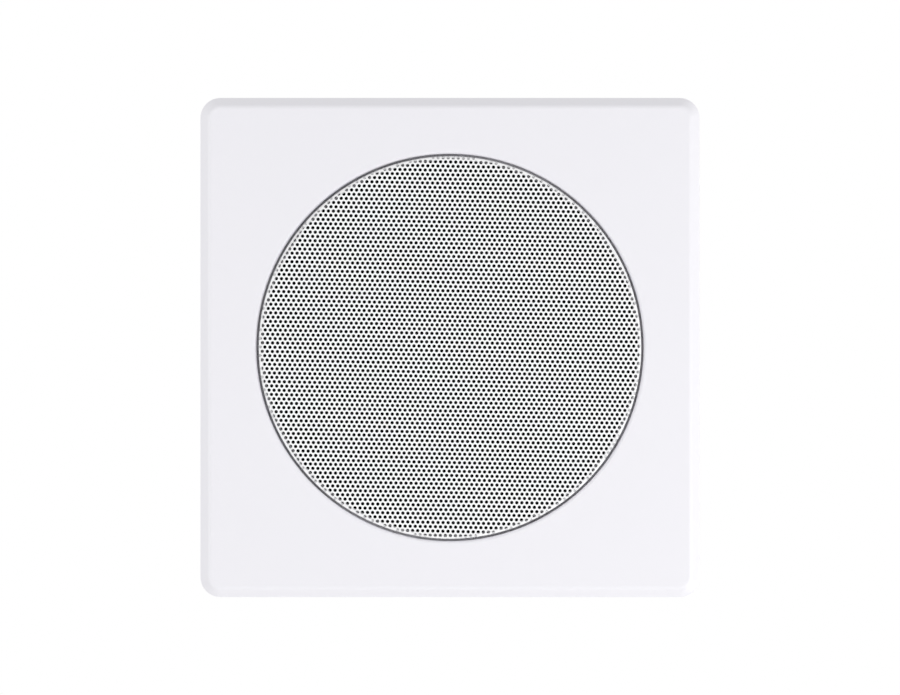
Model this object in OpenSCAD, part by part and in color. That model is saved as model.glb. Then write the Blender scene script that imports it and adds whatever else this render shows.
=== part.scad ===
// Flush wall loudspeaker: a square moulded frame with a round perforated
// steel grille, a two-way driver on the frame's baffle behind it, and four
// clamps that swing out behind the wall board.
// Every piece is built face up, with the room along +Z and the top along +Y,
// from the plane where the frame meets the wall. The last lines turn each
// one upright, so that the face looks along -Y and the top along +Z.

/* [Frame] */
// Width and height of the square plate
frame_w = 200; // [196:1:230]
// Thickness of the plate, from the wall to its face
plate_t = 6; // [5.5:0.5:9]
// Radius of the plate's corners
corner_r = 8; // [7:0.5:12]
// Width of the 45 degree bevel along the plate's edge
bevel_w = 2.8; // [1.5:0.1:3.2]
// Radius that blends the bevel into the face
blend_r = 2.8; // [1:0.1:4]
// Radius of the soft lip around the round opening
lip_r = 1.4; // [1:0.1:3.5]
// Wall thickness of the moulding
wall_t = 2.5; // [2:0.1:3]
// Width of the solid ring round the opening, outside the collar
hub_w = 2.5; // [2.5:0.1:4]
// Width of the rim that touches the wall
rim_w = 5; // [5:0.5:7]
// Number of ribs behind the plate
rib_n = 24; // [8:4:32]
// Thickness of each rib
rib_t = 1.6; // [1:0.1:2.4]

/* [Grille] */
// Outer diameter of the grille
grille_d = 153; // [152:0.2:160]
// Thickness of the steel sheet
sheet_t = 0.8; // [0.6:0.1:1]
// Height of the grille, from its face to the end of its turned-down edge
grille_h = 8; // [6.5:0.5:9]
// How far the grille's face stands in front of the plate
grille_proud = 1; // [0.4:0.1:1.5]
// Outer radius of the bend at the grille's edge
bend_r = 1.6; // [1.2:0.1:2.4]
// Dark gap between the grille and the frame
edge_gap = 1; // [0.5:0.1:1.2]
// Diameter of each perforation, drawn at 2.5 times the real 1.4 mm
hole_d = 3.5; // [2:0.1:3.6]
// Distance between perforations, drawn at 2.5 times the real 2 mm
hole_pitch = 5; // [4.6:0.1:7]
// Slope of the rows of perforations, falling to the right
row_slope = 1.2; // [0:0.1:30]
// Thickness of the cloth behind the grille
cloth_t = 0.3; // [0.2:0.1:0.6]

/* [Baffle and collar] */
// Depth of the driver's seat behind the plate's face
seat_depth = 15; // [14:0.5:17]
// Thickness of the baffle
baffle_t = 2.5; // [2:0.1:3]
// Length of the collar that goes through the wall
collar_l = 30; // [24:1:32]
// Thickness of the wall that the grille grips
retain_t = 1.4; // [1.2:0.1:1.6]
// Gap between that wall and the grille's turned-down edge
grip_gap = 0.3; // [0.3:0.1:0.6]
// Number of crush ribs in that gap
grip_n = 24; // [12:4:36]
// Height of the screw bosses behind the baffle
boss_h = 6.5; // [6:0.5:8]

/* [Clamps] */
// Diameter of the clamp screws
clamp_d = 4; // [3.5:0.1:4.4]
// Diameter of their heads
clamp_head_d = 7.5; // [7:0.1:8]
// Height of their heads
clamp_head_h = 2.6; // [2:0.1:3]
// Length of each dog from its screw to its tip
dog_l = 24; // [20:1:26]
// Width of each dog's arm
dog_w = 8; // [6:0.5:8.5]
// Thickness of each dog's arm
dog_t = 5; // [4:0.5:6]
// Diameter of the dog's hub
hub_d = 10; // [9.5:0.5:11]
// Length of the dog's hub
hub_l = 12; // [10:1:14]
// Height of the pad that bites on the board
pad_h = 2.5; // [1.5:0.1:2.8]
// Travel of the dog along its screw
dog_travel = 22; // [18:1:24]
// Turn of the dog between folded and clamping
dog_swing = 105; // [95:1:110]

/* [Woofer] */
// Thickness of the pressed steel basket
basket_t = 1.2; // [1:0.1:1.4]
// Width of the basket's flange
flange_w = 9.5; // [9:0.1:10]
// Depth of the basket behind its flange
basket_depth = 26; // [24:0.5:28]
// Radius of the shelf that carries the spider
shelf_r = 42; // [40:0.5:43]
// Height of that shelf above the basket's floor
shelf_h = 6.8; // [6:0.1:8]
// Number of openings in the basket
window_n = 6; // [4:1:8]
// Angle that each opening spans
window_span = 38; // [30:1:40]
// Width of the rolled rubber surround
roll_w = 7.5; // [6.5:0.1:8.5]
// Thickness of the surround
roll_t = 0.5; // [0.4:0.1:0.6]
// Depth of the cone
cone_depth = 15.2; // [14:0.1:16]
// Thickness of the cone
cone_t = 0.6; // [0.4:0.1:0.8]
// Diameter of the dust cap
cap_d = 32; // [30:0.5:36]
// Height of the dust cap
cap_h = 4.5; // [3:0.1:5]
// Thickness of the spider's cloth
spider_t = 0.5; // [0.4:0.1:0.6]
// Number of rings in the spider
spider_rings = 5; // [4:1:6]
// Thickness of the seal under the basket's flange
seal_t = 1; // [0.8:0.1:1.5]

/* [Motor] */
// Inner diameter of the voice coil's former
coil_d = 24.8; // [24:0.1:26]
// Thickness of the former
former_t = 0.25; // [0.2:0.05:0.3]
// Thickness of the winding
winding_t = 0.5; // [0.4:0.1:0.6]
// Height of the winding
winding_h = 10; // [9:0.5:11]
// Clearance on each side of the former and its winding
air_gap = 0.4; // [0.3:0.05:0.5]
// Diameter of the front and back plates
motor_d = 68; // [64:1:70]
// Thickness of each of those plates
motor_t = 5; // [4:0.5:6]
// Diameter of the ferrite magnet
magnet_d = 72; // [70:1:76]
// Thickness of the magnet
magnet_t = 13; // [12:0.5:15]

/* [Tweeter] */
// Diameter of the tweeter's dome
dome_d = 20.6; // [20:0.1:21.4]
// Height of the dome
dome_h = 2.8; // [2:0.1:3]
// Diameter of the tweeter's face plate
face_d = 38.8; // [37:0.2:40]
// Thickness of the face plate
face_t = 3.4; // [3:0.1:3.6]
// Width of the bridge's arms
arm_w = 12; // [11:0.5:13]
// Thickness of the bridge's arms
arm_t = 2.5; // [2:0.1:2.8]
// Depth of the tweeter's steel pot
pot_h = 9.2; // [8.5:0.1:10]

/* [Crossover] */
// Width of the circuit board
board_w = 60; // [58:1:64]
// Height of the circuit board
board_h = 48; // [47:1:52]
// Thickness of the circuit board
board_t = 1.6; // [1.2:0.1:2]
// Thickness of the moulded carrier behind the motor
carrier_t = 2.5; // [2:0.1:3]
// Height of the carrier's standoffs
standoff_h = 4; // [3.8:0.1:6]
// Diameter of the inductor
inductor_d = 24; // [20:0.5:24]
// Height of the inductor
inductor_h = 12; // [10:0.5:14]
// Diameter of the capacitor
capacitor_d = 11; // [9:0.5:11]
// Length of the capacitor
capacitor_l = 22; // [18:0.5:24]
// Size of the resistor across its body
resistor_w = 7; // [6:0.5:7]
// Height of the terminal block
block_h = 12; // [11:0.5:14]
// Diameter of the holes for the loudspeaker wire
wire_hole_d = 3; // [2.5:0.1:3.4]
// Travel of each push lever
lever_travel = 3; // [2:0.1:3.2]
// Diameter of the hook-up wires
wire_d = 1.4; // [1:0.1:1.6]

/* [Hidden] */
$fn = 96;
SMALL_FN = 24;
EPS = 0.01;
// How far a cutting shape runs past the face that it cuts
CUT = 1;

// Names of the pieces, in the order in which they are put together
CLAMPS = [1, 2, 3, 4];

// Radii, from the grille outwards and inwards
grille_r = grille_d / 2;
opening_r = grille_r + edge_gap;
collar_r = opening_r + wall_t;
hub_r = collar_r + hub_w;
skirt_r = grille_r - sheet_t;
retain_r = skirt_r - grip_gap;
well_r = retain_r - retain_t;
head_clear = 0.25;
clamp_r = well_r - head_clear - clamp_head_d / 2;
flange_clear = 0.75;
basket_r = clamp_r - clamp_head_d / 2 - flange_clear;
basket_in_r = basket_r - flange_w;
cone_r = basket_in_r - roll_w;

// Levels, from the face backwards
grille_z = plate_t + grille_proud;
sheet_z = grille_z - sheet_t;
cloth_z = sheet_z - cloth_t;
groove_z = grille_z - grille_h;
groove_floor_t = 2;
retain_z = cloth_z - 1;
seat_z = plate_t - seat_depth;
baffle_z = seat_z - baffle_t;
boss_z = baffle_z - boss_h;
flange_z = seat_z + seal_t;
landing_z = flange_z + basket_t;
floor_z = flange_z - basket_depth;
shelf_z = floor_z + basket_t + shelf_h;
magnet_z = floor_z - motor_t;
back_plate_z = magnet_z - magnet_t;
yoke_z = back_plate_z - motor_t;

// Edge of the plate: a short side, the bevel and its blend
bevel_angle = 45;
blend_w = blend_r * sin(bevel_angle);
blend_h = blend_r * (1 - cos(bevel_angle));
side_h = plate_t - bevel_w * tan(bevel_angle) - blend_h;

step_r = shelf_r - 5;

// Clamps: the first angle, and the levels of the folded dog
clamp_turn = 45;
tower_r = 6.5;
tower_step = 1.5;
tower_z = baffle_z - tower_step;
dog_clear = 0.5;
dog_front_z = baffle_z - dog_clear - dog_travel - pad_h;
guide_in_r = hub_d / 2 + dog_clear;
guide_t = 2;
guide_step = 0.5;
guide_margin = 4;
guide_half = asin(dog_w / 2 / guide_in_r) + guide_margin;
guide_back_z = dog_front_z - hub_l - dog_clear;
guide_plate_t = 3;
guide_end_z = guide_back_z - guide_plate_t;
screw_clear = 0.2;
thread_clear = 0.1;
screw_short = 0.5;
slot_clear = 1.25;

// Woofer fixing: four screws outside the surround's landing
landing_w = 3;
landing_r = basket_in_r + landing_w;
fixing_d = 3.4;
fixing_head_d = 5.8;
fixing_head_h = 2.2;
fixing_l = landing_z - boss_z - 1.6;
fixing_turn = 22.5;
fixing_r = basket_r - fixing_head_d / 2 - 0.3;
pilot_clear = 0.05;
bore_r = basket_in_r + basket_t + 1;
boss_wall = 2;
boss_floor = 1;
wire_clear = 0.5;
grip_angle = 1;
grip_lead = 1;
hole_clear = 0.4;
seal_inset = 0.3;

// Cone and what moves with it
cone_land_w = 3;
cone_in_r = cone_r - cone_land_w;
former_in_r = coil_d / 2;
former_r = former_in_r + former_t;
winding_r = former_r + winding_t;
cone_slope = cone_depth / (cone_in_r - former_r);
neck_h = 3;
neck_z = landing_z - cone_depth;
winding_z = floor_z - motor_t / 2 - winding_h / 2;

// Tweeter and its bridge
face_gap = 1;
face_z = cloth_z - face_gap;
ledge_z = face_z - face_t;
ledge_t = 2.5;
arm_top_z = ledge_z + 1.6;
bridge_r = (basket_r + well_r) / 2;
bridge_screw_d = 3;
bridge_head_d = 5.6;
bridge_head_h = 2;
pot_wall = 2.1;
pot_in_r = dome_d / 2 + 0.5;
pot_r = pot_in_r + pot_wall;
dome_t = 0.3;
pot_top_z = ledge_z - dome_t;
pot_z = pot_top_z - pot_h;

// Crossover, from the motor backwards
standoff_z = yoke_z - carrier_t - standoff_h;
board_z = standoff_z - board_t;
corner_x = board_w / 2 - 4;
corner_y = board_h / 2 - 4;
block_w = 34;
block_d = 14;
block_in = 1;
block_y = block_in - board_h / 2 + block_d / 2;
block_z = board_z - block_h;
lever_x = 8.5;
lever_w = 9;
lever_d = 6;
lever_clear = 0.3;
lever_out = 3.5;
lever_in = 5;
wire_r = wire_d / 2;

// Points along an arc
function arc(centre, r, from, to, steps = 6) =
    [for (i = [0:steps])
        let (a = from + (to - from) * i / steps)
        centre + r * [cos(a), sin(a)]];

// Radius of the sphere that a dome of this base and height belongs to
function dome_radius(base_r, h) = (base_r * base_r + h * h) / (2 * h);

// Section through the moulded edge, w wide
function edge_section(w) = concat(
    [[0, 0], [w, 0], [w, side_h]],
    arc([w - bevel_w - blend_w, plate_t - blend_r], blend_r, 90 - bevel_angle, 90),
    [[0, plate_t]]);

// Front surface of the cone at a radius
function cone_z(r) = landing_z - (cone_in_r - r) * cone_slope;

// Rounds a route by cutting its corners
function cut_corners(p) = concat([p[0]],
    [for (i = [0:len(p) - 2], s = [0.25, 0.75])
        if ((i > 0 || s > 0.5) && (i < len(p) - 2 || s < 0.5))
            p[i] + s * (p[i + 1] - p[i])],
    [p[len(p) - 1]]);
function smooth(p, times = 2) = times == 0 ? p : smooth(cut_corners(p), times - 1);

// Direction of a route at one of its points
function heading(p, i) =
    let (d = p[min(i + 1, len(p) - 1)] - p[max(i - 1, 0)]) d / norm(d);

// Sheet with round corners, exact in outline
module round_sheet(w, h, r) {
    square([w, h - 2 * r], center = true);
    square([w - 2 * r, h], center = true);
    for (x = [-1, 1], y = [-1, 1])
        translate([x * (w / 2 - r), y * (h / 2 - r)]) circle(r);
}

// Ring between two radii and two levels
module ring(r_in, r_out, z_low, z_high) {
    rotate_extrude() translate([r_in, z_low]) square([r_out - r_in, z_high - z_low]);
}

// Copies at equal angles round the axis
module around(n, r, turn = 0) {
    for (i = [0:n - 1]) rotate(turn + i * 360 / n) translate([r, 0, 0]) children();
}

// Round wire along a route that never runs along the side direction
module wire(route, r, side, sides = 8) {
    p = smooth(route);
    rings = [for (i = [0:len(p) - 1])
        let (t = heading(p, i), u = cross(side, t), n = u / norm(u), b = cross(t, n))
        for (k = [0:sides - 1]) p[i] + r * (cos(360 * k / sides) * n + sin(360 * k / sides) * b)];
    last = len(p) - 1;
    polyhedron(points = rings, faces = concat(
        [[for (k = [sides - 1:-1:0]) k]],
        [for (i = [0:last - 1], k = [0:sides - 1])
            let (a = i * sides + k, b = i * sides + (k + 1) % sides)
            [a, b, b + sides, a + sides]],
        [[for (k = [0:sides - 1]) last * sides + k]]));
}

// Pan head screw with its head's seat at z = 0
module pan_screw(d, head_d, head_h, l) {
    point = [0.3, 1];
    edge_r = head_h * 0.6;
    rotate_extrude($fn = SMALL_FN * 2) polygon(concat(
        [[0, -l], [d / 2 - point[0], -l], [d / 2, point[1] - l], [d / 2, 0], [head_d / 2, 0]],
        arc([head_d / 2 - edge_r, head_h - edge_r], edge_r, 0, 90, 5),
        [[0, head_h]]));
}

// The square plate: a flat middle, four bevelled sides and four round corners
module plate() {
    flat = frame_w / 2 - corner_r;
    linear_extrude(height = plate_t) square(2 * flat, center = true);
    for (a = [0:90:270]) rotate(a) translate([flat, flat, 0]) {
        rotate_extrude(angle = 90) polygon(edge_section(corner_r));
        rotate([90, 0, 0]) linear_extrude(height = 2 * flat) polygon(edge_section(corner_r));
    }
}

// Everything of the frame that is round: lip, groove, gripped wall, baffle, collar
module frame_round() {
    rotate_extrude() polygon(concat(
        [[collar_r, -collar_l], [collar_r, 0], [hub_r, 0], [hub_r, plate_t]],
        arc([opening_r + lip_r, plate_t - lip_r], lip_r, 90, 180, 8),
        [[opening_r, groove_z], [retain_r, groove_z], [retain_r, retain_z],
            [well_r, retain_z], [well_r, seat_z], [bore_r, seat_z], [bore_r, baffle_z],
            [retain_r, baffle_z], [retain_r, groove_z - groove_floor_t],
            [opening_r, groove_z - groove_floor_t], [opening_r, -collar_l]]));
}

// Boss, guide wall and end plate that carry one clamp screw
module clamp_tower() {
    translate([0, 0, tower_z]) cylinder(r = tower_r, h = baffle_z - tower_z + EPS);
    rotate(dog_swing + guide_half) rotate_extrude(angle = 360 - dog_swing - 2 * guide_half)
        translate([guide_in_r, guide_end_z]) square([guide_t, baffle_z - guide_end_z + EPS]);
    translate([0, 0, guide_end_z]) cylinder(r = guide_in_r + guide_t - guide_step, h = guide_plate_t);
}

// Pocket behind the plate, with its ribs left standing
module back_pocket() {
    reach = frame_w;
    translate([0, 0, -EPS]) linear_extrude(height = plate_t - wall_t + EPS) difference() {
        round_sheet(frame_w - 2 * rim_w, frame_w - 2 * rim_w, corner_r - rim_w / 2);
        circle(hub_r);
        around(rib_n, reach / 2, 180 / rib_n) square([reach, rib_t], center = true);
    }
}

module front_frame() {
    color("white") difference() {
        union() {
            difference() {
                plate();
                translate([0, 0, -EPS]) cylinder(r = hub_r, h = plate_t + 2 * EPS);
            }
            frame_round();
            around(4, clamp_r, clamp_turn) clamp_tower();
            around(4, fixing_r, fixing_turn)
                translate([0, 0, boss_z]) cylinder(d = fixing_d + 2 * boss_wall, h = boss_h + EPS);
            around(2, bridge_r)
                translate([0, 0, boss_z]) cylinder(d = bridge_screw_d + 2 * boss_wall, h = boss_h + EPS);
            around(grip_n, 0) rotate_extrude(angle = grip_angle)
                translate([retain_r - EPS, groove_z - EPS])
                    square([grip_gap + EPS, retain_z - groove_z - grip_lead]);
        }
        back_pocket();
        around(4, clamp_r, clamp_turn) {
            translate([0, 0, guide_end_z - CUT])
                cylinder(d = clamp_d + 2 * screw_clear, h = seat_z - guide_end_z + 2 * CUT);
            translate([opening_r - clamp_r - CUT, -dog_w / 2 - slot_clear, -collar_l - CUT])
                cube([wall_t + 2 * CUT, dog_w + 2 * slot_clear, collar_l + CUT + baffle_z]);
        }
        around(4, fixing_r, fixing_turn) translate([0, 0, boss_z + boss_floor])
            cylinder(d = fixing_d + 2 * pilot_clear, h = seat_z - boss_z, $fn = SMALL_FN);
        around(2, bridge_r) translate([0, 0, boss_z + boss_floor])
            cylinder(d = bridge_screw_d + 2 * pilot_clear, h = seat_z - boss_z, $fn = SMALL_FN);
        for (side = [-1, 1]) translate([-bridge_r, side * wire_y, baffle_z - CUT])
            cylinder(d = wire_d + 2 * wire_clear, h = baffle_t + 2 * CUT, $fn = SMALL_FN);
    }
}

// Perforated steel, pressed into a shallow lid with a turned-down edge
module grille() {
    bend_in = bend_r - sheet_t;
    flat_r = grille_r - bend_r;
    row_h = hole_pitch * sin(60);
    rows = ceil(flat_r / row_h);
    margin = 0.3;
    centres = [for (j = [-rows:rows], i = [-rows:rows])
        let (p = [hole_pitch * (i + (j % 2 == 0 ? 0 : 0.5)), row_h * j])
        if (norm(p) < flat_r - hole_d / 2 - margin) p];
    color("whitesmoke") {
        linear_extrude_at(sheet_z, sheet_t) difference() {
            circle(flat_r);
            rotate(-row_slope) for (p = centres) translate(p) circle(d = hole_d, $fn = 16);
        }
        rotate_extrude() polygon(concat(
            arc([flat_r, grille_z - bend_r], bend_r, 90, 0),
            [[grille_r, groove_z], [skirt_r, groove_z]],
            arc([flat_r, grille_z - bend_r], bend_in, 0, 90)));
    }
}

// Flat shape raised to a level and given a thickness
module linear_extrude_at(z, t) {
    translate([0, 0, z]) linear_extrude(height = t) children();
}

module grille_cloth() {
    color("black") linear_extrude_at(cloth_z, cloth_t) circle(grille_r - bend_r);
}

module clamp_screw(i) {
    color("goldenrod") rotate(clamp_turn + (i - 1) * 90) translate([clamp_r, 0, seat_z])
        pan_screw(clamp_d, clamp_head_d, clamp_head_h, seat_z - guide_end_z - screw_short);
}

// Hub on the screw, an arm with a gusset, and the pad that bites on the board
module clamp_dog(i) {
    arm_z = dog_front_z - dog_t;
    pad_l = 10;
    gusset_t = 2;
    gusset_start = [0, dog_front_z - hub_l + 1];
    gusset_end = [dog_l - 4, arm_z + EPS];
    color("dimgray") rotate(clamp_turn + (i - 1) * 90) translate([clamp_r, 0, 0])
        rotate(dog_swing) difference() {
            union() {
                translate([0, 0, dog_front_z - hub_l]) cylinder(d = hub_d, h = hub_l);
                translate([0, -dog_w / 2, arm_z]) cube([dog_l, dog_w, dog_t]);
                translate([dog_l - pad_l, -dog_w / 2, dog_front_z - EPS])
                    cube([pad_l, dog_w, pad_h + EPS]);
                translate([0, gusset_t / 2, 0]) rotate([90, 0, 0]) linear_extrude(height = gusset_t)
                    polygon([gusset_start, gusset_end, [0, arm_z + EPS]]);
            }
            translate([0, 0, dog_front_z - hub_l - CUT])
                cylinder(d = clamp_d + 2 * thread_clear, h = hub_l + 2 * CUT, $fn = SMALL_FN);
        }
}

module driver_seal() {
    color("dimgray") linear_extrude_at(seat_z, seal_t) difference() {
        circle(basket_r - seal_inset);
        circle(bore_r + seal_inset);
        around(4, fixing_r, fixing_turn) circle(d = fixing_d + 2 * hole_clear, $fn = SMALL_FN);
    }
}

// One pressing: floor on the motor, step up to the shelf, legs, flange
module basket() {
    floor_in_r = winding_r + 2;
    window_edge = 2;
    run = (basket_in_r - shelf_r) / (landing_z - shelf_z);
    shift = basket_t * (sqrt(1 + run * run) - run);
    color("gray") difference() {
        rotate_extrude() polygon([
            [floor_in_r, floor_z + basket_t], [step_r - basket_t, floor_z + basket_t],
            [step_r - basket_t, shelf_z], [shelf_r, shelf_z],
            [basket_in_r, landing_z], [basket_r, landing_z], [basket_r, flange_z],
            [basket_in_r + shift, flange_z], [shelf_r + shift, shelf_z - basket_t],
            [step_r, shelf_z - basket_t], [step_r, floor_z], [floor_in_r, floor_z]]);
        around(window_n, 0, 30) rotate(-window_span / 2) rotate_extrude(angle = window_span)
            translate([shelf_r + window_edge, floor_z])
                square([basket_in_r - shelf_r - 2 * window_edge, landing_z - floor_z + CUT]);
        around(4, fixing_r, fixing_turn) translate([0, 0, flange_z - CUT])
            cylinder(d = fixing_d + 2 * hole_clear, h = basket_t + 2 * CUT, $fn = SMALL_FN);
    }
}

module rim_gasket() {
    inset = 0.5;
    gasket_t = 1.5;
    low = landing_z + roll_t;
    color("dimgray") ring(basket_in_r + inset, landing_r, low, low + gasket_t);
}

// Rubber half roll with a flat landing on each side
module surround() {
    mid_r = (cone_r + basket_in_r) / 2;
    out_r = roll_w / 2 + roll_t / 2;
    in_r = roll_w / 2 - roll_t / 2;
    root = asin(roll_t / out_r);
    color("#222222") rotate_extrude() polygon(concat(
        [[cone_in_r, landing_z], [cone_in_r, landing_z + roll_t]],
        arc([mid_r, landing_z], out_r, 180 - root, root, 12),
        [[landing_r, landing_z + roll_t], [landing_r, landing_z]],
        arc([mid_r, landing_z], in_r, 0, 180, 12)));
}

module cone() {
    neck_r = former_r + cone_t;
    color("#303030") rotate_extrude() polygon([
        [former_r, neck_z], [cone_in_r, landing_z], [cone_r, landing_z],
        [cone_r, landing_z - cone_t], [cone_in_r, landing_z - cone_t],
        [neck_r, cone_z(neck_r) - cone_t], [neck_r, neck_z - neck_h],
        [former_r, neck_z - neck_h]]);
}

// Dome with its edge cut to the slope of the cone
module dust_cap() {
    base_r = cap_d / 2;
    t = 0.4;
    big_r = dome_radius(base_r, cap_h);
    rim = asin(base_r / big_r);
    top = cone_z(base_r) + cap_h;
    inner_r = base_r - t;
    color("#303030") rotate_extrude() polygon(concat(
        arc([0, top - big_r], big_r, 90, 90 - rim, 8),
        [[inner_r, cone_z(inner_r)]],
        arc([0, top - big_r], big_r - t, 90 - asin((inner_r - t) / (big_r - t)), 90, 8)));
}

// Corrugated cloth between the former and the basket's shelf
module spider() {
    hem = 2.5;
    wave = 0.9;
    inset = 0.5;
    start_r = former_r + hem;
    end_r = step_r - basket_t - inset;
    mid_z = shelf_z + spider_t / 2;
    steps = spider_rings * 8;
    line = [for (i = [0:steps]) [start_r + (end_r - start_r) * i / steps,
        mid_z + wave * sin(360 * spider_rings * i / steps)]];
    up = [0, spider_t / 2];
    color("goldenrod") rotate_extrude() polygon(concat(
        [[former_r, mid_z + spider_t / 2]], [for (p = line) p + up],
        [[shelf_r - inset, mid_z + spider_t / 2], [shelf_r - inset, mid_z - spider_t / 2]],
        [for (i = [steps:-1:0]) line[i] - up], [[former_r, mid_z - spider_t / 2]]));
}

module coil_former() {
    glue_lap = 1;
    color("peru") ring(former_in_r, former_r, winding_z, neck_z + glue_lap);
}

module voice_coil() {
    color("chocolate") ring(former_r, winding_r, winding_z, winding_z + winding_h);
}

module front_plate() {
    color("silver") ring(winding_r + air_gap, motor_d / 2, magnet_z, floor_z);
}

module magnet() {
    inset = 3.5;
    color("#404040") ring(winding_r + air_gap + inset, magnet_d / 2, back_plate_z, magnet_z);
}

// Back plate and pole, turned from one piece
module yoke() {
    pole_r = former_in_r - air_gap;
    pole_edge = 0.6;
    edge = 1;
    hole_l = motor_t - 0.5;
    color("silver") difference() {
        rotate_extrude() polygon([[0, yoke_z], [motor_d / 2 - edge, yoke_z],
            [motor_d / 2, yoke_z + edge], [motor_d / 2, back_plate_z], [pole_r, back_plate_z],
            [pole_r, floor_z - pole_edge], [pole_r - pole_edge, floor_z], [0, floor_z]]);
        around(2, carrier_screw_x) translate([0, 0, yoke_z - CUT])
            cylinder(d = carrier_screw_d + 2 * pilot_clear, h = hole_l + CUT, $fn = SMALL_FN);
    }
}

// Insulating strip on the back of the basket's shelf, with two tags riveted on
strip_w = 24;
strip_t = 1.5;
strip_y = shelf_r - 4.2;
strip_end_y = shelf_r + 9;
tag_x = 7;
tag_y = shelf_r + 4;
tag_t = 0.8;
tag_w = 4;
tag_l = 12;
tag_back = 2.5;
tag_hole_d = 1.5;
tag_hole_in = 2;
eyelet_d = 2.4;
eyelet_head = 0.7;
strip_z = shelf_z - basket_t - strip_t;

module tag_strip() {
    color("saddlebrown") linear_extrude_at(strip_z, strip_t) difference() {
        translate([-strip_w / 2, strip_y]) square([strip_w, strip_end_y - strip_y]);
        for (x = [-tag_x, tag_x]) translate([x, tag_y])
            circle(d = eyelet_d + 2 * pilot_clear, $fn = SMALL_FN);
    }
}

module solder_tags() {
    head_h = 0.5;
    color("gold") for (x = [-tag_x, tag_x]) translate([x, tag_y, 0]) {
        linear_extrude_at(strip_z - tag_t, tag_t) difference() {
            translate([-tag_w / 2, -tag_back]) square([tag_w, tag_l]);
            translate([0, tag_l - tag_back - tag_hole_in]) circle(d = tag_hole_d, $fn = SMALL_FN);
        }
        translate([0, 0, strip_z - EPS]) cylinder(d = eyelet_d, h = strip_t + head_h + EPS);
        translate([0, 0, strip_z + strip_t]) cylinder(d = eyelet_d + 2 * eyelet_head, h = head_h);
    }
}

// Flexible leads from the cone's back, out through an opening, to the tags
module tinsel_leads() {
    lead_r = 0.5;
    start_y = shelf_r - 16;
    start_z = cone_z(start_y) - cone_t;
    head_z = strip_z + strip_t + 0.5;
    color("orange") for (s = [-1, 1]) wire([
        [s * 5, start_y, start_z], [s * 5, start_y + 0.5, start_z - 3],
        [s * 5.5, start_y + 4, head_z + 6], [s * 6.5, tag_y - 4, head_z + 6],
        [s * tag_x, tag_y, head_z + 5], [s * tag_x, tag_y, head_z]], lead_r, [1, 0, 0]);
}

module woofer_screws() {
    color("dimgray") around(4, fixing_r, fixing_turn) translate([0, 0, landing_z])
        pan_screw(fixing_d, fixing_head_d, fixing_head_h, fixing_l);
}

// Centre ring for the tweeter, with an arm and a foot on each side
foot_clear = 0.8;
wire_y = arm_w / 2 + wire_r + 0.1;

module tweeter_bridge() {
    ring_in_r = face_d / 2 + 0.2;
    ring_r = ring_in_r + 2.3;
    pot_hole_r = pot_r + 0.3;
    root_h = 2;
    foot_x = basket_r + foot_clear;
    end_x = well_r - foot_clear;
    gusset_x = shelf_r + 3;
    head_z = arm_top_z - bridge_head_h - 1;
    color("#282828") difference() {
        union() {
            rotate_extrude() polygon([
                [pot_hole_r, ledge_z - ledge_t], [ring_r, ledge_z - ledge_t], [ring_r, face_z],
                [ring_in_r, face_z], [ring_in_r, ledge_z], [pot_hole_r, ledge_z]]);
            for (side = [0, 180]) rotate(side) translate([0, arm_w / 2, 0]) rotate([90, 0, 0])
                linear_extrude(height = arm_w) polygon([
                    [ring_r - 1, arm_top_z], [end_x, arm_top_z], [end_x, seat_z],
                    [foot_x, seat_z], [foot_x, arm_top_z - arm_t],
                    [gusset_x, arm_top_z - arm_t], [ring_r - 1, ledge_z - ledge_t - root_h]]);
        }
        around(2, bridge_r) {
            translate([0, 0, seat_z - CUT])
                cylinder(d = bridge_screw_d + 2 * screw_clear, h = seat_depth + 2 * CUT, $fn = SMALL_FN);
            translate([0, 0, head_z])
                cylinder(d = bridge_head_d + 2 * head_clear, h = seat_depth, $fn = SMALL_FN);
        }
    }
}

module bridge_screws() {
    head_z = arm_top_z - bridge_head_h - 1;
    color("dimgray") around(2, bridge_r) translate([0, 0, head_z])
        pan_screw(bridge_screw_d, bridge_head_d, bridge_head_h, head_z - boss_z - 1.5);
}

// Face plate with a short flared mouth
module tweeter_face() {
    throat_r = dome_d / 2 + 0.6;
    mouth_r = throat_r + 5.6;
    flare = face_t - 0.4;
    color("#282828") rotate_extrude() polygon(concat(
        [[throat_r, ledge_z], [face_d / 2, ledge_z], [face_d / 2, face_z - 0.5],
            [face_d / 2 - 0.5, face_z]],
        [for (i = [0:6]) [throat_r + (mouth_r - throat_r) * (1 - i / 6),
            face_z - flare * (1 - sqrt(1 - pow(i / 6, 2)))]]));
}

// Silk dome with a flat edge held between the pot and the face plate
module tweeter_dome() {
    base_r = dome_d / 2;
    big_r = dome_radius(base_r, dome_h);
    rim = asin(base_r / big_r);
    top = ledge_z + dome_h;
    inner_r = base_r - dome_t;
    color("#202020") rotate_extrude() polygon(concat(
        arc([0, top - big_r], big_r, 90, 90 - rim, 8),
        [[pot_r, ledge_z], [pot_r, pot_top_z], [inner_r, pot_top_z]],
        arc([0, top - big_r], big_r - dome_t, 90 - asin((inner_r - dome_t) / (big_r - dome_t)), 90, 8)));
}

module tweeter_coil() {
    color("chocolate") ring(dome_d / 2 - 0.3, dome_d / 2, pot_top_z - 3.4, pot_top_z);
}

module tweeter_pot() {
    color("silver") rotate_extrude() polygon([[0, pot_z], [pot_r - 0.8, pot_z],
        [pot_r, pot_z + 0.8], [pot_r, pot_top_z], [pot_in_r, pot_top_z],
        [pot_in_r, pot_z + pot_wall], [0, pot_z + pot_wall]]);
}

tweeter_gap_z = pot_top_z - 3.6;
module tweeter_magnet() {
    color("#404040") translate([0, 0, pot_z + pot_wall])
        cylinder(r = dome_d / 2 - 1.2, h = tweeter_gap_z - pot_z - pot_wall);
}

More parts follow.
